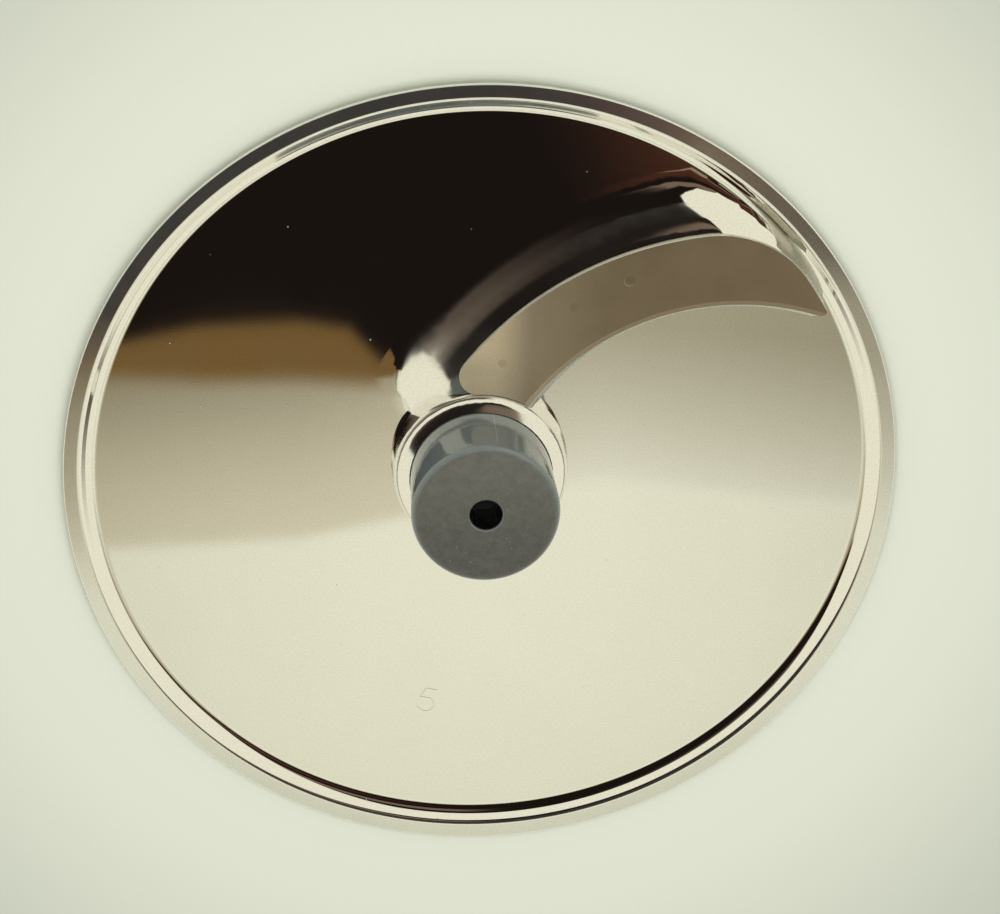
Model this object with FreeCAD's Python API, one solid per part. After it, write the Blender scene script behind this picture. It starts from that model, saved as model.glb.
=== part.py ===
import FreeCAD, Part
import math
import os

from FreeCAD import Vector

# Slicing disc for a continuous-feed food processor. All sizes in millimetres.
# The origin is on the disc's axis at the underside of the flat sheet, +Z points up along the hub.
# Bearings are in degrees, counter-clockwise from +X, seen from above.

# Pressed sheet
disc_diameter = 190.0
sheet = 1.2
rim_chamfer = 0.2

# Rim: the flange stands above the flat face on an S-shaped step
flange_width = 3.7
rim_rise = 2.2
rim_run = 2.5
rim_valley_radius = 4.0
rim_crest_radius = 1.9

# Collar drawn up round the hub
collar_diameter = 39.5
collar_taper = 0.4
collar_height = 6.9
collar_crown = 1.1
collar_shoulder_radius = 2.6
collar_mouth_gap = 0.25

# Crescent blade, flat, parallel to the sheet
slice_thickness = 5.0
blade_thickness = 1.0
blade_back_radius = 79.7
blade_back_offset = 16.4
blade_back_bearing = -18.9
cutting_edge_radius = 57.2
cutting_edge_offset = 2.9
cutting_edge_bearing = -15.45
blade_rim_overlap = 0.3
blade_collar_gap = 0.05
blade_heel_radius = 4.3
blade_shoulder_radius = 24.0
blade_tip_radius = 1.3
bevel_width = 1.4
edge_land = 0.12

# Spot welds that hold the blade on the ramp
weld_mark_radius = 1.25
weld_mark_depth = 0.12
weld_inset = 6.3
weld_arcs_from_heel = (12.7, 35.9, 51.1)

# Ramp pressed up behind the blade, and the mouth that the slices pass through
ramp_slope_width = 13.5
ramp_side_width = 5.5
ramp_valley_width = 1.6
ramp_overlap = 11.5
ramp_margin = 1.5
mouth_gap = 2.6
mouth_corner_radius = 2.6
grid_pitch = 1.2
join_tolerance = 0.001

# Moulded hub
hub_height = 27.8
hub_base_diameter = 32.3
hub_end_diameter = 33.8
hub_end_round = 1.9
hub_end_flats = 3
hub_clearance = 0.1
hub_bore_diameter = 7.3
hub_bore_chamfer = 0.4
socket_diameter = 16.0
socket_depth = 18.0
keyway_width = 3.2
keyway_depth = 1.8

# Worked out from the sizes above
flat_top = sheet
disc_radius = disc_diameter / 2
crest_radius = disc_radius - flange_width
valley_radius = crest_radius - rim_run
collar_radius = collar_diameter / 2
collar_foot = collar_radius + collar_taper
blade_under = flat_top + slice_thickness
blade_top = blade_under + blade_thickness
mouth_radius = hub_base_diameter / 2 + collar_mouth_gap
hub_top = flat_top + hub_height


def at_bearing(distance, bearing):
    """Point in the disc's plane, at a distance from the axis."""
    angle = math.radians(bearing)
    return Vector(distance * math.cos(angle), distance * math.sin(angle), 0)


axis = Vector(0, 0, 0)
back_centre = at_bearing(blade_back_radius - blade_back_offset, blade_back_bearing)
edge_centre = at_bearing(cutting_edge_radius + cutting_edge_offset, cutting_edge_bearing)


# Sections of revolution

def tangent_length(before, corner, after, radius):
    """Distance from a corner to where its rounding starts."""
    turn = (corner - before).getAngle(after - corner)
    return radius * math.tan(turn / 2)


def rounded_line(points, radii):
    """Edges of an open line whose inner corners are rounded, or sharp where the radius is zero."""
    edges = []
    start = points[0]
    for before, corner, after, radius in zip(points, points[1:], points[2:], radii):
        if radius == 0:
            edges.append(Part.LineSegment(start, corner).toShape())
            start = corner
            continue
        length = tangent_length(before, corner, after, radius)
        towards = (before - corner).normalize()
        away = (after - corner).normalize()
        enter = corner + towards * length
        leave = corner + away * length
        inward = (towards + away).normalize()
        to_centre = math.hypot(radius, length)
        middle = corner + inward * (to_centre - radius)
        edges.append(Part.LineSegment(start, enter).toShape())
        edges.append(Part.Arc(enter, middle, leave).toShape())
        start = leave
    edges.append(Part.LineSegment(start, points[-1]).toShape())
    return edges


def offset_line(points, distance):
    """The same open line, moved to its right by a distance."""
    moved = []
    normals = []
    for first, second in zip(points, points[1:]):
        along = (second - first).normalize()
        normals.append(Vector(along.z, 0, -along.x))
    moved.append(points[0] + normals[0] * distance)
    for corner, before, after in zip(points[1:], normals, normals[1:]):
        both = before + after
        moved.append(corner + both * (distance / (1 + before.dot(after))))
    moved.append(points[-1] + normals[-1] * distance)
    return moved


def sheet_line():
    """Corners of the sheet's top face, from inside the collar's mouth out to the rim."""
    shoulder = flat_top + collar_height
    crown_slope = collar_crown / (collar_radius - mouth_radius)
    inside = mouth_radius - sheet
    return [Vector(inside, 0, shoulder + crown_slope * (collar_radius - inside)),
            Vector(collar_radius, 0, shoulder),
            Vector(collar_foot, 0, flat_top),
            Vector(valley_radius, 0, flat_top),
            Vector(crest_radius, 0, flat_top + rim_rise),
            Vector(disc_radius, 0, flat_top + rim_rise)]


def collar_wall_radius(height):
    """Radius of the collar's straight wall at a height above the flat face."""
    return collar_radius + collar_taper * (collar_height - height) / collar_height


def top_rim(plate):
    """The flange's sharp upper edge, as a list of one."""
    circles = [edge for edge in plate.Edges if edge.Curve.TypeId == "Part::GeomCircle"]
    outer = [edge for edge in circles if abs(edge.Curve.Radius - disc_radius) < 0.01]
    return [max(outer, key=lambda edge: edge.Curve.Center.z)]


def plain_plate():
    """Sheet with its rim step and collar, before the ramp is lanced."""
    top = sheet_line()
    bottom = offset_line(top, sheet)
    edges = rounded_line(top, [collar_shoulder_radius, 0, rim_valley_radius, rim_crest_radius])
    edges += rounded_line(bottom, [0, 0, 0, 0])
    edges.append(Part.LineSegment(top[0], bottom[0]).toShape())
    edges.append(Part.LineSegment(top[-1], bottom[-1]).toShape())
    section = Part.Face(Part.Wire(Part.__sortEdges__(edges)))
    plate = section.revolve(Vector(0, 0, 0), Vector(0, 0, 1), 360).cut(drum(axis, mouth_radius))
    return plate.makeChamfer(rim_chamfer, top_rim(plate))


def flat_limit():
    """Radius at which the flat face meets the rim step."""
    line = sheet_line()
    return valley_radius - tangent_length(line[2], line[3], line[4], rim_valley_radius)


# Regions in plan, as upright prisms

def drum(centre, radius):
    """Upright cylinder taller than the disc."""
    low = -sheet - rim_rise
    return Part.makeCylinder(radius, hub_top - 2 * low, Vector(centre.x, centre.y, low))


def crescent(back_radius, edge_radius, inner_radius, outer_radius):
    """Prism between the back circle and the cutting edge's circle, from the collar out to the rim."""
    ring = drum(axis, outer_radius).cut(drum(axis, inner_radius))
    shape = ring.common(drum(back_centre, back_radius)).cut(drum(edge_centre, edge_radius))
    return blade_side(shape)


def blade_side(shape):
    """The solid that lies on the blade's side of the line to the back circle's centre."""
    return max(shape.Solids, key=lambda solid: back_centre.cross(solid.CenterOfMass).z)


def corner_edge(solid, centre, radius, axis_radius):
    """The upright edge where a circle meets a circle about the axis, as a list of one."""
    def miss(edge):
        place = Vector(edge.CenterOfMass.x, edge.CenterOfMass.y, 0)
        return abs(place.Length - axis_radius) + abs((place - centre).Length - radius)
    upright = [edge for edge in solid.Edges if abs(edge.tangentAt(edge.FirstParameter).z) > 0.999]
    return [min(upright, key=miss)]


# Ramp

def ease(share):
    """Smooth rise from 0 to 1."""
    share = min(max(share, 0.0), 1.0)
    return share * share * (3 - 2 * share)


def heel_bearing():
    """Bearing, about the back circle's centre, of the blade's end at the collar."""
    return bearing_at(blade_back_radius - blade_heel_radius, collar_radius)


def ramp_height(point):
    """Height of the ramp's top face above the flat face, at a point in plan."""
    from_centre = point - back_centre
    bearing = math.degrees(math.atan2(from_centre.y, from_centre.x))
    past_heel = math.radians(bearing - heel_bearing()) * blade_back_radius + blade_heel_radius
    past_back = from_centre.Length - (blade_back_radius - blade_heel_radius)
    beyond = math.hypot(max(past_heel, 0), max(past_back, 0)) - blade_heel_radius
    side = flat_limit() - ramp_valley_width - point.Length
    return slice_thickness * (1 - ease(beyond / ramp_slope_width)) * ease(side / ramp_side_width)


def clamped_knots(poles):
    """Knots and multiplicities of a clamped cubic with evenly spaced knots."""
    inner = poles - 4
    knots = [float(index) for index in range(inner + 2)]
    return knots, [4] + [1] * inner + [4]


def even_steps(low, high, pitch):
    """Evenly spaced values from low to high, about one pitch apart."""
    count = max(int(math.ceil((high - low) / pitch)), 6)
    return [low + (high - low) * index / count for index in range(count + 1)]


def ramp_face():
    """Top face of the ramp, drawn out past its foot where it is level with the flat face."""
    margin = 4 * grid_pitch
    lip = blade_back_radius - ramp_overlap
    rows = even_steps(lip - margin, blade_back_radius + ramp_slope_width + ramp_margin + margin, grid_pitch)
    turn_pitch = math.degrees(grid_pitch / blade_back_radius)
    columns = len(even_steps(rim_bearing(lip, 0), ramp_end_bearing(), turn_pitch))
    grid = []
    for radius in rows:
        first = rim_bearing(radius, margin)
        last = ramp_end_bearing() + 4 * turn_pitch
        line = []
        for column in range(columns):
            point = back_centre + at_bearing(radius, first + (last - first) * column / (columns - 1))
            line.append(Vector(point.x, point.y, flat_top + ramp_height(point)))
        grid.append(line)
    row_knots, row_counts = clamped_knots(len(rows))
    column_knots, column_counts = clamped_knots(columns)
    surface = Part.BSplineSurface()
    surface.buildFromPolesMultsKnots(grid, row_counts, column_counts, row_knots, column_knots,
                                     False, False, 3, 3)
    return surface.toShape()


def bearing_at(radius, axis_radius):
    """Bearing, about the back circle's centre, at which a circle of one radius meets one about the axis."""
    reach = back_centre.Length
    cosine = (reach ** 2 + radius ** 2 - axis_radius ** 2) / (2 * reach * radius)
    return blade_back_bearing + 180 - math.degrees(math.acos(cosine))


def rim_bearing(radius, beyond):
    """Bearing at which a row of the ramp's grid runs out into the rim step, or a little beyond."""
    return bearing_at(radius, flat_limit() + beyond)


def ramp_end_bearing():
    """Bearing, about the back circle's centre, at which the ramp is level again past the hub."""
    return heel_bearing() + math.degrees((ramp_slope_width + ramp_margin) / blade_back_radius)


def before_ramp_end():
    """Half space on the blade's side of the ramp's end at the hub."""
    size = 4 * disc_radius
    block = Part.makeBox(2 * size, size, size, Vector(-size, -size, -size / 2))
    block.rotate(Vector(0, 0, 0), Vector(0, 0, 1), ramp_end_bearing())
    block.translate(back_centre)
    return block


def ramp_zone(inner_radius):
    """Prism over all that the press and the lancing cut change."""
    foot_radius = blade_back_radius + ramp_slope_width + ramp_margin
    ring = drum(axis, flat_limit()).cut(drum(axis, inner_radius))
    ring = ring.common(drum(back_centre, foot_radius)).common(before_ramp_end())
    mouth_edge = cutting_edge_radius - mouth_gap
    zone = blade_side(ring.cut(drum(edge_centre, mouth_edge)))
    return zone.makeFillet(mouth_corner_radius, corner_edge(zone, edge_centre, mouth_edge, flat_limit()))


def pressed_ramp():
    """Raised sheet from the ramp's foot to its lip under the blade."""
    zone = ramp_zone(collar_radius - sheet / 2)
    zone = zone.cut(drum(back_centre, blade_back_radius - ramp_overlap))
    raised = ramp_face().extrude(Vector(0, 0, -sheet))
    return raised.common(zone)


def disc_plate():
    """Pressed disc with rim, collar, mouth and ramp, one sheet."""
    lanced = plain_plate().cut(ramp_zone(collar_foot))
    return lanced.fuse([pressed_ramp()], join_tolerance).Solids[0]


# Blade

def blade_blank():
    """Crescent with its rounded heel, shoulder and tip."""
    outer = flat_limit() + blade_rim_overlap
    inner = collar_wall_radius(slice_thickness) + blade_collar_gap
    blank = crescent(blade_back_radius, cutting_edge_radius, inner, outer)
    slab = Part.makeBox(2 * disc_diameter, 2 * disc_diameter, blade_thickness,
                        Vector(-disc_diameter, -disc_diameter, blade_under))
    blank = blank.common(slab).Solids[0]
    heel = corner_edge(blank, back_centre, blade_back_radius, inner)
    tip = corner_edge(blank, edge_centre, cutting_edge_radius, outer)
    shoulder = corner_edge(blank, back_centre, blade_back_radius, outer)
    blank = blank.makeFillet(blade_heel_radius, heel)
    blank = blank.makeFillet(blade_tip_radius, tip)
    return blank.makeFillet(blade_shoulder_radius, shoulder)


def weld_marks():
    """Shallow round dents left by the spot welds, in a row inside the back edge."""
    marks = []
    for arc in weld_arcs_from_heel:
        bearing = heel_bearing() - math.degrees(arc / blade_back_radius)
        place = back_centre + at_bearing(blade_back_radius - weld_inset, bearing)
        place.z = blade_top - weld_mark_depth
        marks.append(Part.makeCylinder(weld_mark_radius, blade_thickness, place))
    return marks


def slicing_blade():
    """Blade with its ground bevel along the cutting edge."""
    bevel_height = blade_thickness - edge_land
    bevel = Part.makeCone(cutting_edge_radius, cutting_edge_radius + bevel_width, bevel_height,
                          Vector(edge_centre.x, edge_centre.y, blade_under + edge_land))
    return blade_blank().cut(bevel).cut(weld_marks()).Solids[0]


# Hub

def end_round_corners():
    """Corners of the few flats that round the hub's end, which keep its mesh light."""
    centre = Vector(hub_end_diameter / 2 - hub_end_round, 0, hub_top - hub_end_round)
    corners = []
    for index in range(hub_end_flats + 1):
        angle = math.radians(90 * index / hub_end_flats)
        corners.append(centre + Vector(math.cos(angle), 0, math.sin(angle)) * hub_end_round)
    return corners


def hub_section():
    """Half section of the hub without its bores."""
    line = sheet_line()
    crown = offset_line(line, sheet + hub_clearance)
    fall = (crown[0].z - crown[1].z) / (crown[1].x - crown[0].x)
    flange = collar_radius - sheet - hub_clearance
    barrel = hub_base_diameter / 2
    points = [Vector(0, 0, 0),
              Vector(flange, 0, 0),
              Vector(flange, 0, crown[0].z + fall * (crown[0].x - flange)),
              Vector(barrel, 0, crown[0].z + fall * (crown[0].x - barrel))]
    points += end_round_corners()
    points += [Vector(0, 0, hub_top), Vector(0, 0, 0)]
    return Part.Face(Part.makePolygon(points))


def keyways():
    """Two keyways, one each side of the drive socket."""
    width = socket_diameter + 2 * keyway_depth
    return Part.makeBox(width, keyway_width, socket_depth, Vector(-width / 2, -keyway_width / 2, 0))


def drive_hub():
    """Moulded hub: flange in the collar, barrel, centre hole and keyed drive socket."""
    hub = hub_section().revolve(Vector(0, 0, 0), Vector(0, 0, 1), 360)
    bore_radius = hub_bore_diameter / 2
    hub = hub.cut(Part.makeCylinder(bore_radius, hub_top))
    hub = hub.cut(Part.makeCone(bore_radius, bore_radius + hub_bore_chamfer, hub_bore_chamfer,
                                Vector(0, 0, hub_top - hub_bore_chamfer)))
    hub = hub.cut(Part.makeCylinder(socket_diameter / 2, socket_depth))
    return hub.cut(keyways()).Solids[0]


def main():
    os.makedirs("parts", exist_ok=True)
    pieces = {"disc_plate": disc_plate(), "slicing_blade": slicing_blade(), "drive_hub": drive_hub()}
    for name, shape in pieces.items():
        shape.exportStep("parts/" + name + ".step")
        print(name, shape.ShapeType, "valid", shape.isValid(), "solids", len(shape.Solids),
              "volume", round(shape.Volume, 1), "top", round(shape.BoundBox.ZMax, 2))


main()
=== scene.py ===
import math

import bmesh
import bpy
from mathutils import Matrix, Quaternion, Vector


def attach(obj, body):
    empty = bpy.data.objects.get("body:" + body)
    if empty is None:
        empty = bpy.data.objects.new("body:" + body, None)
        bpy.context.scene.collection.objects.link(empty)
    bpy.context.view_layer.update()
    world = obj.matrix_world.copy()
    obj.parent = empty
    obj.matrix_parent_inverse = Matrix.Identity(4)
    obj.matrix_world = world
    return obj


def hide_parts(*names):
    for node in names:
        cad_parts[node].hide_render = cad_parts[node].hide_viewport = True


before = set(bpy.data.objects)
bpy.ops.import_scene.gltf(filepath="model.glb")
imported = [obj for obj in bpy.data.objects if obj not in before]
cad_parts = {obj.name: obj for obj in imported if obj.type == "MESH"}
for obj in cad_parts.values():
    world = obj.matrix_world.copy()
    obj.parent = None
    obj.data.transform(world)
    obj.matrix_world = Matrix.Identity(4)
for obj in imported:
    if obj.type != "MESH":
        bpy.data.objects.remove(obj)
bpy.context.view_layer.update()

MM = 0.001
TURN = 2.0 * math.pi

# The camera, in metres and degrees: where it looks, from which side, how far off, and how it is rolled.
LOOK_AT = Vector((0.00461, 0.00204, 0.00268))
TOWARDS_CAMERA = Vector((-0.05764, 0.43140, 0.90032)).normalized()
CAMERA_DISTANCE = 2.5
CAMERA_ROLL = 172.39
LENS = 394.9
SENSOR = 36.0

# The disc, in mm. Heights are over the floor, and places are from the disc's axis.
DISC_RADIUS = 95.0
SHEET = 1.2
FLAT_TOP = 1.2
HUB_END = 29.0
SEAM_BEARING = math.radians(81.0)

# Where the blade is welded on, in mm: the level of its underside, and the places.
WELD_LEVEL = 6.2
WELD_MARKS = ((33.3, 48.1), (20.6, 41.5), (4.5, 27.6))

# The rim's section, in mm: the flange stands above the flat face on an S-shaped step.
FLANGE_WIDTH = 3.7
RIM_RISE = 2.2
RIM_RUN = 2.5
VALLEY_RADIUS = 4.0
CREST_RADIUS = 1.9
EDGE_ROUND = 0.2
RIM_STEP = math.radians(0.6)

# For telling the rim of the CAD node from its flat, in mm, and for keeping one place one corner.
ON_RING = 0.004
PAST_RING = 0.01
WITHIN_SHEET = 0.5
DIGITS = 4

# Copies of other nodes: corners this near in metres are merged, and faces this level in degrees are joined.
MERGE_WITHIN = 2e-6
JOIN_WITHIN = 0.6

# Corner normals: upright from LEVEL on, one corner above SAME_CORNER, and one curved area above SAME_CURVE.
LEVEL = 0.99999
SAME_CORNER = 0.95
SAME_CURVE = 0.80

# The studio card: its height in metres over the flat face, and the rest in mm of the face that mirrors it.
CARD_HEIGHT = 0.405
COARSE_PITCH = 6.0
FINE_PITCH = 1.5
CARD_ACROSS = (-400.0, -108.0, 108.0, 402.0)
CARD_ALONG = (-140.0, -98.0, 112.0, 460.0)

# Lower borders of the card's dark, ochre and grey areas, as pairs of x and y.
LOW_DARK = ((-120, 28), (-82, 31), (-64, 35), (-41, 36), (-30, 34), (-22, 25), (-10, 20),
            (10, 22), (22, 33), (32, 41), (60, 46), (120, 50))
LOW_OCHRE = ((-82, 22), (-64, 21), (-41, 21), (-18, 19))
LOW_GREY = ((-130, 22), (-106, -21), (-84, -21), (-64, -20), (-41, -19), (-18, -14),
            (0, -9), (28, -5), (51, -8), (74, -11), (87, -12))

# How far out the card reaches, by bearing in degrees.
CARD_REACH = ((0, 125), (48, 140), (66, 330), (76, 430), (150, 430), (165, 200), (180, 140))

# The card's colours, of 0 to 255. The greys run from near the viewer to far off.
PALE = (237, 237, 214)
LEFT_GREY = ((214, 208, 181), (163, 155, 130))
RIGHT_GREY = ((230, 228, 207), (172, 166, 142))
FLANGE_GREY = ((112, 104, 85), (150, 140, 114))
OCHRE = (116, 90, 52)
DARK = (26, 20, 17)
WARM_HAZE = (88, 50, 34)
FAR_GLOW = (98, 87, 75)
RAMP_STRIP = (118, 100, 84)


# Small helpers

def linear(r, g, b):
    """A display colour of 0 to 255 as scene-linear."""
    def one(value):
        value /= 255.0
        return value / 12.92 if value <= 0.04045 else ((value + 0.055) / 1.055) ** 2.4
    return (one(r), one(g), one(b), 1.0)


def smooth(low, high, value):
    """0 below low, 1 above high, and a smooth step between."""
    t = min(1.0, max(0.0, (value - low) / (high - low)))
    return t * t * (3.0 - 2.0 * t)


def between(points, x):
    """The height at x of the line through the points, level beyond its ends."""
    if x <= points[0][0]:
        return points[0][1]
    for (x0, y0), (x1, y1) in zip(points, points[1:]):
        if x <= x1:
            return y0 + (y1 - y0) * (x - x0) / (x1 - x0)
    return points[-1][1]


def mixed(a, b, share):
    return tuple(p + (q - p) * share for p, q in zip(a, b))


def darker(colour, levels):
    return tuple(c - levels for c in colour)


def link(obj):
    bpy.context.scene.collection.objects.link(obj)
    return obj


def mesh_object(name, vertices, faces):
    mesh = bpy.data.meshes.new(name)
    mesh.from_pydata(vertices, [], faces)
    mesh.update()
    return link(bpy.data.objects.new(name, mesh))


def wear(obj, material):
    obj.data.materials.clear()
    obj.data.materials.append(material)


# Materials

class Nodes:
    """A material's node tree, with short calls for the nodes used here."""

    def __init__(self, name):
        self.material = bpy.data.materials.new(name)
        self.material.use_nodes = True
        self.tree = self.material.node_tree
        self.shader = self.tree.nodes["Principled BSDF"]

    def add(self, kind, inputs=(), **settings):
        node = self.tree.nodes.new(kind)
        for key, value in settings.items():
            setattr(node, key, value)
        for socket, value in inputs:
            self.put(node.inputs[socket], value)
        return node

    def put(self, socket, value):
        if isinstance(value, bpy.types.NodeSocket):
            self.tree.links.new(value, socket)
        else:
            socket.default_value = value

    def surface(self, socket, value):
        """Sets a value of the surface itself, or links it."""
        self.put(self.shader.inputs[socket], value)

    def place(self):
        """The point on the piece, in metres of the shared frame."""
        return self.add("ShaderNodeTexCoord").outputs["Object"]

    def part(self, vector, axis):
        """One coordinate of a vector."""
        return self.add("ShaderNodeSeparateXYZ", [("Vector", vector)]).outputs[axis]

    def facing_up(self):
        """1 where the surface is level and faces up, 0 where it is upright."""
        return self.part(self.add("ShaderNodeNewGeometry").outputs["Normal"], "Z")

    def maths(self, operation, a, b=0.0):
        return self.add("ShaderNodeMath", [(0, a), (1, b)], operation=operation).outputs[0]

    def vector_maths(self, operation, a, b=(0.0, 0.0, 0.0), result="Value"):
        return self.add("ShaderNodeVectorMath", [(0, a), (1, b)], operation=operation).outputs[result]

    def off_axis(self, at):
        """Distance from the disc's axis, in metres."""
        return self.vector_maths("LENGTH", self.vector_maths("MULTIPLY", at, (1.0, 1.0, 0.0), "Vector"))

    def span(self, value, low, high, to_low=0.0, to_high=1.0, shape="SMOOTHSTEP"):
        """to_low where the value is low, to_high where it is high, and a step between."""
        ends = [("Value", value), ("From Min", low), ("From Max", high)]
        ends += [("To Min", to_low), ("To Max", to_high)]
        return self.add("ShaderNodeMapRange", ends, interpolation_type=shape).outputs["Result"]

    def noise(self, vector, scale, detail=3.0, roughness=0.5):
        inputs = [("Vector", vector), ("Scale", scale), ("Detail", detail), ("Roughness", roughness)]
        return self.add("ShaderNodeTexNoise", inputs).outputs["Fac"]

    def mix_colour(self, share, a, b):
        return self.add("ShaderNodeMix", [(0, share), (6, a), (7, b)], data_type="RGBA").outputs[2]

    def bump(self, height, strength, distance, normal=None):
        inputs = [("Strength", strength), ("Distance", distance), ("Height", height)]
        node = self.add("ShaderNodeBump", inputs)
        if normal is not None:
            self.put(node.inputs["Normal"], normal)
        return node.outputs["Normal"]

    def specks(self, vector, scale, size):
        """Small round spots, 1 inside a spot."""
        spots = self.add("ShaderNodeTexVoronoi", [("Vector", vector), ("Scale", scale)])
        return self.span(spots.outputs["Distance"], size, 0.4 * size)


def polished_steel():
    """Bright polished sheet: a mirror with a fine orange peel, faint smears and a few dust specks.

    Handling has dulled the flange and all that stands as high, and drawing has dulled the ramp's inner end.
    """
    m = Nodes("polished_steel")
    at = m.place()
    height, reach = m.part(at, "Z"), m.off_axis(at)
    smears = m.noise(at, 45.0, 4.0, 0.6)
    grain = m.noise(at, 2600.0, 2.0, 0.6)
    dust = m.specks(at, 170.0, 0.035)
    # The flange, outside the step, is handled the most.
    m.surface("Metallic", m.span(reach, 90.9 * MM, 91.5 * MM, 1.0, 0.967))

    tint = m.mix_colour(smears, (0.91, 0.895, 0.86, 1.0), (0.95, 0.94, 0.915, 1.0))
    grainy = m.mix_colour(0.07, tint, (0.0, 0.0, 0.0, 1.0))
    tint = m.mix_colour(m.span(grain, 0.35, 0.65), grainy, tint)
    m.surface("Base Color", m.mix_colour(dust, tint, (0.97, 0.96, 0.94, 1.0)))

    # The ramp's inner end lies above the flat face, from the collar's foot outwards.
    raised = m.span(height, 1.22 * MM, 1.8 * MM)
    ramp_end = m.maths("MULTIPLY", raised, m.span(reach, 42.0 * MM, 33.0 * MM, 0.0, 0.12))
    ramp_end = m.maths("MULTIPLY", ramp_end, m.span(reach, 20.2 * MM, 21.2 * MM))
    # The flange's top is at 3.4 mm.
    dulled = m.maths("MAXIMUM", m.span(height, 3.15 * MM, 3.38 * MM, 0.0, 0.07), ramp_end)
    dulled = m.maths("MULTIPLY", dulled, m.span(smears, 0.1, 0.9, 0.6, 1.4))
    rough = m.maths("ADD", m.span(smears, 0.3, 0.7, 0.026, 0.040), dulled)
    m.surface("Roughness", m.maths("ADD", rough, m.maths("MULTIPLY", dust, 0.5)))
    peel = m.bump(grain, 0.003, 0.0002)
    m.surface("Normal", m.bump(dust, 0.1, 0.0001, peel))
    return m.material


def satin_steel():
    """Ground blade steel: a fine matt grain and faint clouds, with painted highlights on its edges, a painted
    reflection lightening its inner end, and darker weld marks.
    """
    m = Nodes("satin_steel")
    at = m.place()
    m.surface("Metallic", 0.6)
    turned = m.add("ShaderNodeMapping", [("Vector", at), ("Rotation", (0.0, 0.0, math.radians(-30.0))),
                                         ("Scale", (1500.0, 2600.0, 1500.0))]).outputs[0]
    strokes = m.noise(turned, 1.0, 3.0, 0.6)
    clouds = m.noise(at, 120.0, 4.0, 0.6)

    # The blade is painted lighter towards its inner end: a painted reflection of its surroundings, not the
    # steel's own tone.
    along = m.part(at, "X")
    far = m.mix_colour(clouds, (0.235, 0.175, 0.105, 1.0), (0.265, 0.200, 0.125, 1.0))
    tint = m.mix_colour(m.span(along, 34.0 * MM, 0.0), far, (0.42, 0.34, 0.24, 1.0))
    tint = m.mix_colour(m.span(along, 12.0 * MM, 1.0 * MM), tint, (0.84, 0.70, 0.48, 1.0))
    tint = m.mix_colour(m.maths("MULTIPLY", strokes, 0.3), tint, (0.10, 0.08, 0.06, 1.0))

    # Edges that turn away from level are painted light as a painted highlight. It is left out around the weld
    # marks.
    edge = m.span(m.facing_up(), 0.86, 0.70)
    for x, y in WELD_MARKS:
        apart = m.vector_maths("DISTANCE", at, (x * MM, y * MM, WELD_LEVEL * MM))
        edge = m.maths("MULTIPLY", edge, m.span(apart, 1.5 * MM, 1.9 * MM))
        inside = m.maths("MULTIPLY", m.span(apart, 1.45 * MM, 1.15 * MM), 0.16)
        tint = m.mix_colour(inside, tint, (0.06, 0.045, 0.03, 1.0))
    m.surface("Base Color", m.mix_colour(edge, tint, (0.92, 0.90, 0.82, 1.0)))
    m.surface("Roughness", m.span(clouds, 0.3, 0.7, 0.30, 0.38))
    m.surface("Normal", m.bump(strokes, 0.06, 0.0001))
    return m.material


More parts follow.
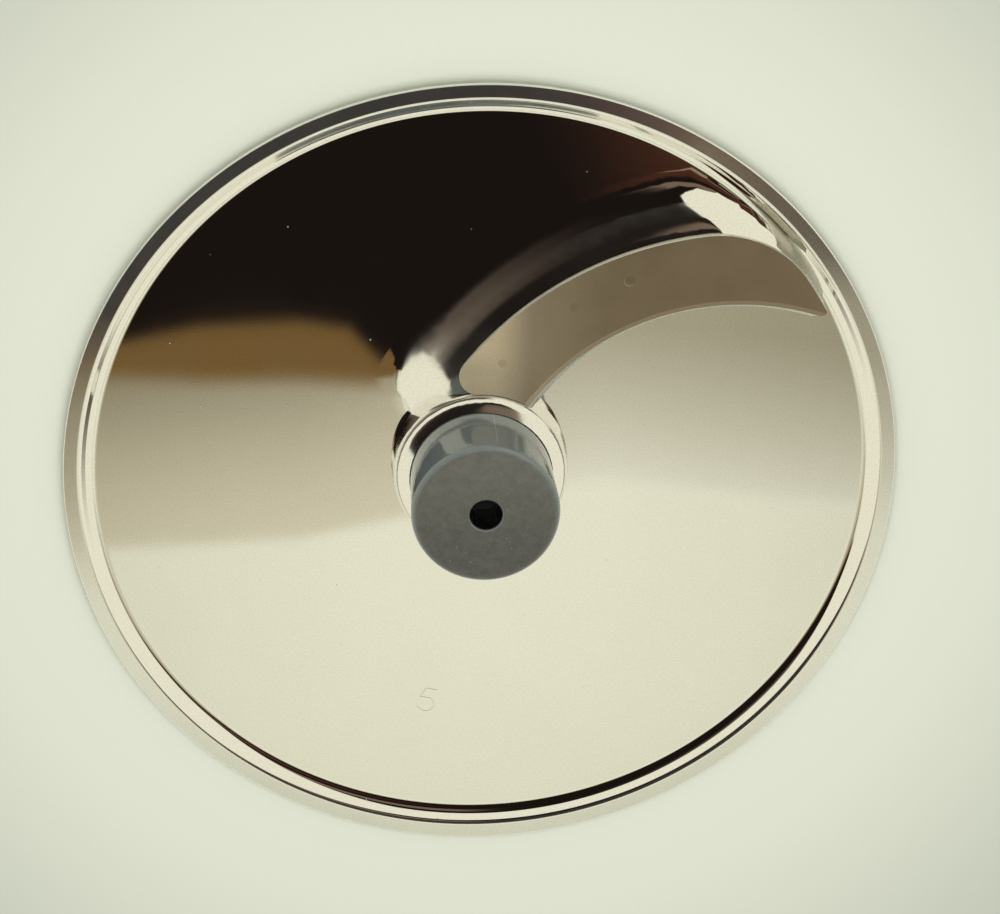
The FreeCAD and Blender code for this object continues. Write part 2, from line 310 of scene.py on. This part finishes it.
def grey_plastic():
    """Moulded plastic: glossy blue-grey sides with a seam line, and a matt darker end face with a speckle.
    The sides are partly painted lighter to stand in for reflections. The seam and the end's round carry
    painted highlights. The end face has painted light and shade from side to side, and the bore is painted
    near-black as shade.
    """
    m = Nodes("grey_plastic")
    at = m.place()
    height, across = m.part(at, "Z"), m.part(at, "Y")
    mottle = m.noise(at, 380.0, 4.0, 0.65)
    fine = m.noise(at, 3400.0, 2.0, 0.6)
    dust = m.specks(at, 420.0, 0.09)

    half_and_half = m.maths("ADD", m.maths("MULTIPLY", mottle, 0.5), m.maths("MULTIPLY", fine, 0.5))
    grain = m.span(half_and_half, 0.38, 0.62)
    face = m.mix_colour(grain, (0.062, 0.061, 0.054, 1.0), (0.112, 0.110, 0.099, 1.0))
    # The end face is painted lighter on its upper (+y) side and darker on its lower side: painted light and
    # shade, as light falls on it.
    lower = m.mix_colour(0.42, face, (0.042, 0.041, 0.036, 1.0))
    upper = m.mix_colour(0.35, face, (0.150, 0.150, 0.125, 1.0))
    face = m.mix_colour(m.span(across, -12.0 * MM, 16.0 * MM), lower, upper)

    # A real parting line at the seam's bearing, painted lighter as a painted glint along it.
    beside = m.vector_maths("DOT_PRODUCT", at, (math.sin(SEAM_BEARING), -math.cos(SEAM_BEARING), 0.0))
    seam = m.span(m.maths("ABSOLUTE", beside), 0.16 * MM, 0.05 * MM)
    seam = m.maths("MULTIPLY", seam, m.span(across, 12.0 * MM, 14.0 * MM))
    seam = m.maths("MULTIPLY", seam, m.span(height, 26.0 * MM, 24.0 * MM))
    # The sides' blue-grey is the plastic's colour, raised in part to stand in for reflections they miss:
    # partly painted reflection.
    side = m.mix_colour(mottle, (0.182, 0.210, 0.220, 1.0), (0.226, 0.254, 0.262, 1.0))
    side = m.mix_colour(m.maths("MULTIPLY", seam, 0.5), side, (0.42, 0.46, 0.46, 1.0))

    # The sides' lighter colour reaches over the end's round, a painted highlight on the round.
    high = m.span(height, (HUB_END - 1.9) * MM, (HUB_END - 0.3) * MM)
    end = m.maths("MULTIPLY", high, m.span(m.facing_up(), 0.50, 0.99))
    tint = m.mix_colour(end, side, face)
    tint = m.mix_colour(m.maths("MULTIPLY", dust, 0.5), tint, (0.30, 0.30, 0.28, 1.0))
    # The bore is painted near-black: painted shade in the hole.
    in_bore = m.span(m.off_axis(at), 3.95 * MM, 3.70 * MM)
    m.surface("Base Color", m.mix_colour(in_bore, tint, (0.006, 0.006, 0.006, 1.0)))
    m.surface("Roughness", m.span(end, 0.0, 1.0, 0.10, 0.50, "LINEAR"))
    m.surface("Specular IOR Level", 0.8)
    m.surface("Normal", m.bump(m.maths("ADD", mottle, fine), m.maths("MULTIPLY", end, 0.12), 0.00008))
    return m.material


def engraved_steel():
    """The etched figure: the sheet's own steel, dulled where it was marked."""
    m = Nodes("engraved_steel")
    broken = m.noise(m.place(), 1800.0, 3.0, 0.6)
    m.surface("Metallic", 1.0)
    m.surface("Base Color", m.mix_colour(broken, (0.62, 0.60, 0.52, 1.0), (0.84, 0.82, 0.74, 1.0)))
    m.surface("Roughness", m.span(broken, 0.3, 0.7, 0.25, 0.45))
    m.surface("Normal", m.bump(broken, 0.3, 0.0001))
    return m.material


def floor_paper():
    """Plain pale backdrop paper, a little darker away from the middle as the light falls off."""
    m = Nodes("floor_paper")
    at = m.place()
    fibre = m.noise(at, 900.0, 4.0, 0.6)
    fall = m.span(m.vector_maths("LENGTH", at), 0.10, 0.20)
    near = m.mix_colour(fibre, (0.745, 0.765, 0.670, 1.0), (0.775, 0.795, 0.700, 1.0))
    m.surface("Base Color", m.mix_colour(fall, near, (0.525, 0.540, 0.475, 1.0)))
    m.surface("Roughness", 0.9)
    m.surface("Normal", m.bump(fibre, 0.05, 0.0002))
    return m.material


# The disc

def dressed_copy(name, node_name, angle, bevel):
    """A clean, smoothly shaded mesh of a CAD node: merged, with its flat areas joined.

    Edges above the angle in degrees stay sharp, and are lightly rounded where a bevel width is given.
    """
    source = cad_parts[node_name].data
    work = bmesh.new()
    corners = [work.verts.new(v.co) for v in source.vertices]
    for polygon in source.polygons:
        try:
            work.faces.new([corners[i] for i in polygon.vertices])
        except ValueError:
            continue
    bmesh.ops.remove_doubles(work, verts=work.verts, dist=MERGE_WITHIN)
    bmesh.ops.dissolve_limit(work, angle_limit=math.radians(JOIN_WITHIN), verts=work.verts, edges=work.edges)
    bmesh.ops.recalc_face_normals(work, faces=work.faces)
    mesh = bpy.data.meshes.new(name)
    work.to_mesh(mesh)
    work.free()
    obj = link(bpy.data.objects.new(name, mesh))
    for polygon in mesh.polygons:
        polygon.use_smooth = True
    mesh.set_sharp_from_angle(angle=math.radians(angle))
    if bevel:
        rounding = obj.modifiers.new("rounding", "BEVEL")
        rounding.width = bevel
        rounding.segments = 2
        rounding.limit_method = "ANGLE"
        rounding.angle_limit = math.radians(angle)
        rounding.harden_normals = True
    weigh = obj.modifiers.new("weigh", "WEIGHTED_NORMAL")
    weigh.weight = 90
    weigh.keep_sharp = True
    return obj


def tangent_arc(centre, radius, start, stop, side, steps):
    """Stations of an arc in the section: radius, height and outward normal, from tilt to tilt in degrees."""
    stations = []
    for step in range(steps + 1):
        tilt = math.radians(start + (stop - start) * step / steps)
        normal = (-math.sin(tilt), math.cos(tilt))
        reach, height = (middle + side * radius * part for middle, part in zip(centre, normal))
        stations.append((reach, height, normal))
    return stations


def rim_section():
    """The sheet's section from the flat face's edge over the step and flange, and back along the underside.

    Gives the radius where the flat face ends, the one where the underside ends, and the stations, in mm.
    """
    slope = math.atan2(RIM_RISE, RIM_RUN)
    tilt = math.degrees(slope)
    half = math.tan(slope / 2.0)
    crest = DISC_RADIUS - FLANGE_WIDTH
    valley = crest - RIM_RUN
    high = FLAT_TOP + RIM_RISE
    low = high - SHEET
    fold = SHEET * half
    flat_end = valley - VALLEY_RADIUS * half
    run = tangent_arc((flat_end, FLAT_TOP + VALLEY_RADIUS), VALLEY_RADIUS, 0.0, tilt, -1.0, 14)
    run += tangent_arc((crest + CREST_RADIUS * half, high - CREST_RADIUS), CREST_RADIUS, tilt, 0.0, 1.0, 12)
    run += tangent_arc((DISC_RADIUS - EDGE_ROUND, high - EDGE_ROUND), EDGE_ROUND, 0.0, -90.0, 1.0, 5)
    run += tangent_arc((DISC_RADIUS - EDGE_ROUND, low + EDGE_ROUND), EDGE_ROUND, -90.0, -180.0, 1.0, 4)
    inside = CREST_RADIUS - SHEET
    run += tangent_arc((crest + fold + inside * half, low - inside), inside, -180.0, tilt - 180.0, -1.0, 6)
    under_end = valley + fold
    run.append((under_end, 0.0, (math.sin(slope), -math.cos(slope))))
    return flat_end, under_end, [(radius, max(0.0, height), normal) for radius, height, normal in run]


def is_level(normal):
    return abs(normal.z) > LEVEL


def calm_normals(mesh):
    """The mesh's corner normals, evened out once over curved areas. Level and sharp places keep theirs."""
    homes, owner, lean = {}, [], []
    for loop, corner in zip(mesh.loops, mesh.corner_normals):
        normal = Vector(corner.vector)
        place = (round(c, 6) for c in mesh.vertices[loop.vertex_index].co)
        home = homes.setdefault((is_level(normal), *place), [])
        for group in home:
            if lean[group].dot(normal) > SAME_CORNER:
                break
        else:
            group = len(lean)
            lean.append(normal)
            home.append(group)
        owner.append(group)
    beside = [set() for _ in lean]
    for polygon in mesh.polygons:
        groups = [owner[i] for i in polygon.loop_indices]
        for a in groups:
            beside[a].update(b for b in groups if b != a and lean[a].dot(lean[b]) > SAME_CURVE)
    calm = []
    for normal, near in zip(lean, beside):
        if not is_level(normal):
            share = 2.0 / max(1, len(near))
            normal = (2.0 * normal + sum((lean[b] for b in near), Vector()) * share).normalized()
        calm.append(normal)
    return [tuple(calm[group]) for group in owner]


def fine_rim_plate(name):
    """The plate: the CAD node's own flat, ramp and collar, and the rim turned finely, to mirror cleanly."""
    flat_end, under_end, section = rim_section()
    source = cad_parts["disc_plate"].data
    places, faces, normals = [], [], []
    index = {}

    def corner(x, y, z):
        key = (round(x, DIGITS), round(y, DIGITS), round(z, DIGITS))
        if key not in index:
            index[key] = len(places)
            places.append((x * MM, y * MM, z * MM))
        return index[key]

    def add_face(points, leans):
        ids = [corner(*point) for point in points]
        kept = [k for k in range(len(ids)) if ids[k] != ids[k - 1]]
        if len(kept) >= 3:
            faces.append([ids[k] for k in kept])
            normals.extend(leans[k] for k in kept)

    points = [tuple(c / MM for c in v.co) for v in source.vertices]
    reach = [math.hypot(x, y) for x, y, z in points]
    leans = calm_normals(source)

    def ring_of(k):
        """The rim's circle that a corner of the node lies on: where the flat or underside ends, or none."""
        height = points[k][2]
        if abs(reach[k] - flat_end) < ON_RING and abs(height - FLAT_TOP) < 0.1:
            return flat_end
        if abs(reach[k] - under_end) < ON_RING and height < PAST_RING:
            return under_end
        return None

    def past_rings(k):
        """Whether a corner of the CAD node belongs to the rim, which is turned anew."""
        above = points[k][2] > WITHIN_SHEET
        return reach[k] > under_end + PAST_RING or (reach[k] > flat_end + PAST_RING and above)

    def bearing(k):
        return math.atan2(points[k][1], points[k][0]) % TURN

    def on_ring(radius, turn):
        return (radius * math.cos(turn), radius * math.sin(turn), FLAT_TOP if radius == flat_end else 0.0)

    rings = [ring_of(k) for k in range(len(points))]
    ordered = sorted({round(bearing(k), 5) for k, ring in enumerate(rings) if ring})
    for k, ring in enumerate(rings):
        if ring:
            points[k] = on_ring(ring, round(bearing(k), 5))
    bearings = []
    for first, second in zip(ordered, ordered[1:] + [ordered[0] + TURN]):
        parts = max(1, math.ceil((second - first) / RIM_STEP))
        bearings += [(first + (second - first) * i / parts) % TURN for i in range(parts)]
    bearings.sort()

    def arc_between(a, b):
        """Points of the rim's circle strictly between two of its corners, in that order."""
        start, stop = bearing(a), bearing(b)
        gap = (stop - start + math.pi) % TURN - math.pi
        inside = []
        for turn in bearings:
            ahead = (turn - start + math.pi) % TURN - math.pi
            if min(0.0, gap) + 1e-6 < ahead < max(0.0, gap) - 1e-6:
                inside.append((abs(ahead), on_ring(rings[a], turn)))
        return [point for _, point in sorted(inside)]

    def side(a, b):
        return frozenset((corner(*points[a]), corner(*points[b])))

    kept = [polygon for polygon in source.polygons if not any(past_rings(k) for k in polygon.vertices)]
    met = {}
    for polygon in kept:
        for a, b in polygon.edge_keys:
            met[side(a, b)] = met.get(side(a, b), 0) + 1
    for polygon in kept:
        run, run_leans = [], []
        ids = list(polygon.vertices)
        for a, b, loop in zip(ids, ids[1:] + ids[:1], polygon.loop_indices):
            along_ring = rings[a] and rings[a] == rings[b] and met[side(a, b)] == 1
            more = arc_between(a, b) if along_ring else []
            run += [points[a]] + more
            run_leans += [leans[loop]] * (1 + len(more))
        add_face(run, run_leans)

    def turned(station, turn):
        """A station of the section at a bearing: its point and its normal."""
        radius, height, (outwards, upwards) = station
        c, s = math.cos(turn), math.sin(turn)
        return (radius * c, radius * s, height), (outwards * c, outwards * s, upwards)

    for first, second in zip(section, section[1:]):
        if math.hypot(second[0] - first[0], second[1] - first[1]) < 1e-4:
            continue
        for a, b in zip(bearings, bearings[1:] + bearings[:1]):
            add_face(*zip(turned(first, a), turned(second, a), turned(second, b), turned(first, b)))
    obj = mesh_object(name, places, faces)
    for polygon in obj.data.polygons:
        polygon.use_smooth = True
    obj.data.normals_split_custom_set(normals)
    return obj


def etched_figure():
    """The slice thickness in millimetres, a 5, marked on the flat face as a fine line."""
    bar = [(-9.05, -57.96), (-11.59, -57.40), (-12.20, -58.55), (-12.95, -59.57)]
    bowl = [bar[-1], (-11.40, -59.75), (-10.18, -60.13), (-9.59, -61.82), (-10.27, -62.84),
            (-11.53, -63.34), (-12.69, -63.06), (-13.62, -62.01)]
    curve = bpy.data.curves.new("etched_figure", "CURVE")
    curve.dimensions = "3D"
    curve.bevel_depth = 0.13 * MM
    curve.bevel_resolution = 2
    curve.resolution_u = 8
    curve.use_fill_caps = True
    for points, kind in ((bar, "POLY"), (bowl, "NURBS")):
        line = curve.splines.new(kind)
        line.points.add(len(points) - 1)
        for point, (x, y) in zip(line.points, points):
            point.co = (x * MM, y * MM, (FLAT_TOP - 0.10) * MM, 1.0)
        if kind == "NURBS":
            line.order_u = 3
            line.use_endpoint_u = True
    return link(bpy.data.objects.new("etched_figure", curve))


# The studio

def floor():
    half = 3.0
    corners = [(-half, -half, 0.0), (half, -half, 0.0), (half, half, 0.0), (-half, half, 0.0)]
    obj = mesh_object("floor", corners, [(0, 1, 2, 3)])
    wear(obj, floor_paper())


def card_look(x, y):
    """Colour and cover of the reflected surroundings, at the place on the flat face that mirrors them."""
    reach = math.hypot(x, y)
    turn = math.degrees(math.atan2(y, x))
    sideways = min(1.0, (x / 85.0) ** 2)
    on_flange = smooth(90.0, 92.0, reach)
    low_dark, low_ochre, low_grey = between(LOW_DARK, x), between(LOW_OCHRE, x), between(LOW_GREY, x)

    outwards = min(1.0, math.hypot(x, y + 20.0) / 85.0) ** 2
    pale = darker(PALE, 13.0 * outwards + 25.0 * on_flange * smooth(50.0, 85.0, -y))
    depth = min(1.0, max(0.0, (y - low_grey) / 40.0))
    left = darker(mixed(*LEFT_GREY, depth ** 1.6), 15.0 * sideways + 20.0 * on_flange)
    right = darker(mixed(*RIGHT_GREY, depth), 15.0 * sideways)
    grey = mixed(left, right, smooth(-20.0, 20.0, x))
    colour = mixed(pale, grey, smooth(low_grey - 2.0, low_grey + 2.0, y))
    above_ochre = smooth(low_ochre - 3.0, low_ochre + 3.0, y) * (1.0 - smooth(-24.0, -14.0, x))
    colour = mixed(colour, OCHRE, above_ochre)

    haze = smooth(14.0, 55.0, x + 0.45 * (y - 70.0)) * smooth(45.0, 75.0, y) * (1.0 - smooth(110.0, 150.0, y))
    dark = mixed(DARK, WARM_HAZE, 0.75 * haze)
    dark = mixed(dark, FAR_GLOW, smooth(60.0, 330.0, -x) * smooth(250.0, 360.0, reach))
    flange = smooth(89.5, 90.7, reach) * (1.0 - smooth(94.0, 96.5, reach)) * (1.0 - smooth(57.0, 71.0, turn))
    dark = mixed(dark, mixed(*FLANGE_GREY, smooth(30.0, 60.0, turn)), flange)
    colour = mixed(colour, dark, smooth(low_dark - 2.2, low_dark + 2.2, y))

    strip = smooth(200.0, 225.0, reach) * (1.0 - smooth(290.0, 330.0, reach)) * smooth(50.0, 60.0, turn)
    colour = mixed(colour, RAMP_STRIP, strip * (1.0 - smooth(86.0, 96.0, turn)))
    far = between(CARD_REACH, turn)
    cover = (1.0 - smooth(far, far + 25.0, reach)) * smooth(-135.0, -115.0, y)
    return linear(*colour), cover


def ticks(start, stop, pitch):
    """Evenly spaced places from start up to stop, which is left out."""
    count = round((stop - start) / pitch)
    return [start + (stop - start) * i / count for i in range(count)]


def card_ticks(start, fine_start, fine_stop, stop):
    """Places along the card, close together over the disc and further apart beyond it."""
    return (ticks(start, fine_start, COARSE_PITCH) + ticks(fine_start, fine_stop, FINE_PITCH)
            + ticks(fine_stop, stop, COARSE_PITCH) + [stop])


def card_glow():
    """Light in the colour of each place of the card, clear where the card doesn't cover."""
    m = Nodes("card_glow")
    m.tree.nodes.remove(m.shader)
    look = m.add("ShaderNodeAttribute", attribute_name="look")
    glow = m.add("ShaderNodeEmission", [("Color", look.outputs["Color"])])
    clear = m.add("ShaderNodeBsdfTransparent")
    shares = [(0, look.outputs["Alpha"]), (1, clear.outputs[0]), (2, glow.outputs[0])]
    both = m.add("ShaderNodeMixShader", shares)
    m.put(m.tree.nodes["Material Output"].inputs["Surface"], both.outputs[0])
    return m.material


def reflection_card():
    """A soft-edged card over the disc, seen only by reflections.

    Its own coordinates are those of the flat face that mirrors it into the camera.
    """
    camera = LOOK_AT + TOWARDS_CAMERA * CAMERA_DISTANCE
    flat = FLAT_TOP * MM
    scale = (CARD_HEIGHT + camera.z - 2.0 * flat) / (camera.z - flat)
    across, along = card_ticks(*CARD_ACROSS), card_ticks(*CARD_ALONG)
    columns, rows = len(across), len(along)
    vertices = [(x * MM, y * MM, 0.0) for y in along for x in across]
    faces = []
    for j in range(rows - 1):
        for i in range(columns - 1):
            a = j * columns + i
            faces.append((a, a + 1, a + columns + 1, a + columns))
    obj = mesh_object("reflection_card", vertices, faces)
    looks = obj.data.color_attributes.new("look", "FLOAT_COLOR", "POINT")
    places = [(x, y) for y in along for x in across]
    for item, (x, y) in zip(looks.data, places):
        colour, cover = card_look(x, y)
        item.color = (*colour[:3], cover)
    wear(obj, card_glow())
    obj.location = ((1.0 - scale) * camera.x, (1.0 - scale) * camera.y, flat + CARD_HEIGHT)
    obj.scale = (scale, scale, 1.0)
    obj.visible_camera = False
    obj.visible_diffuse = False
    obj.visible_transmission = False
    obj.visible_volume_scatter = False
    obj.visible_shadow = False


def area_light(name, location, target, size, power, colour):
    """A soft light that neither the camera nor a reflection sees."""
    data = bpy.data.lights.new(name, "AREA")
    data.shape = "RECTANGLE"
    data.size, data.size_y = size
    data.energy = power
    data.color = colour
    obj = link(bpy.data.objects.new(name, data))
    obj.location = location
    obj.rotation_mode = "QUATERNION"
    obj.rotation_quaternion = (Vector(target) - Vector(location)).to_track_quat("-Z", "Y")
    obj.visible_glossy = False
    obj.visible_camera = False


def surroundings():
    """A plain pale room. Reflections also see its darker walls, low down all round, with one pale patch."""
    world = bpy.data.worlds.new("studio")
    world.use_nodes = True
    bpy.context.scene.world = world
    tree = world.node_tree
    tree.nodes.clear()
    new = tree.nodes.new
    way = new("ShaderNodeTexCoord")

    def towards(direction, low, high):
        """0 to 1 as the way that a ray goes turns towards the direction."""
        turned = new("ShaderNodeVectorMath")
        turned.operation = "DOT_PRODUCT"
        turned.inputs[1].default_value = Vector(direction).normalized()
        share = new("ShaderNodeMapRange")
        share.interpolation_type = "SMOOTHSTEP"
        share.inputs["From Min"].default_value = low
        share.inputs["From Max"].default_value = high
        tree.links.new(way.outputs["Generated"], turned.inputs[0])
        tree.links.new(turned.outputs["Value"], share.inputs["Value"])
        return share.outputs["Result"]

    either = new("ShaderNodeMath")
    either.operation = "MAXIMUM"
    tree.links.new(towards((0.0, -0.20, 0.98), 0.12, 0.24), either.inputs[0])
    tree.links.new(towards((0.68, 0.70, 0.20), 0.80, 0.90), either.inputs[1])
    seen = new("ShaderNodeMix")
    seen.data_type = "RGBA"
    seen.inputs[6].default_value = (0.10, 0.085, 0.065, 1.0)
    seen.inputs[7].default_value = (0.86, 0.835, 0.665, 1.0)
    mirrored = new("ShaderNodeBackground")
    plain = new("ShaderNodeBackground")
    plain.inputs["Color"].default_value = (0.93, 0.96, 0.86, 1.0)
    plain.inputs["Strength"].default_value = 0.55
    ray = new("ShaderNodeLightPath")
    both = new("ShaderNodeMixShader")
    out = new("ShaderNodeOutputWorld")
    tree.links.new(either.outputs[0], seen.inputs[0])
    tree.links.new(seen.outputs[2], mirrored.inputs["Color"])
    tree.links.new(ray.outputs["Is Glossy Ray"], both.inputs[0])
    tree.links.new(plain.outputs[0], both.inputs[1])
    tree.links.new(mirrored.outputs[0], both.inputs[2])
    tree.links.new(both.outputs[0], out.inputs["Surface"])


def camera():
    data = bpy.data.cameras.new("camera")
    data.sensor_width = SENSOR
    data.lens = LENS
    data.clip_start = 0.05
    data.clip_end = 20.0
    obj = link(bpy.data.objects.new("camera", data))
    obj.location = LOOK_AT + TOWARDS_CAMERA * CAMERA_DISTANCE
    obj.rotation_mode = "QUATERNION"
    roll = Quaternion((0.0, 0.0, 1.0), math.radians(CAMERA_ROLL))
    obj.rotation_quaternion = TOWARDS_CAMERA.to_track_quat("Z", "Y") @ roll
    bpy.context.scene.camera = obj


# Put together

plate = fine_rim_plate("pressed_plate")
wear(plate, polished_steel())
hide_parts("disc_plate")
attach(plate, "root")

blade = dressed_copy("blade_ground", "slicing_blade", 30.0, 0.10 * MM)
wear(blade, satin_steel())
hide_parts("slicing_blade")
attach(blade, "root")

hub = dressed_copy("hub_moulding", "drive_hub", 32.0, 0.0)
wear(hub, grey_plastic())
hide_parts("drive_hub")
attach(hub, "root")

figure = etched_figure()
wear(figure, engraved_steel())
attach(figure, "root")

floor()
reflection_card()
surroundings()
area_light("key", (0.05, 0.10, 1.30), (0.0, 0.0, 0.0), (1.2, 1.2), 9.0, (1.0, 0.99, 0.96))
area_light("lamp", (-0.08, 0.60, 1.05), (0.0, 0.0, 0.02), (0.45, 0.10), 1.2, (1.0, 1.0, 0.98))
camera()

view = bpy.context.scene.view_settings
view.view_transform = "Standard"
view.look = "None"
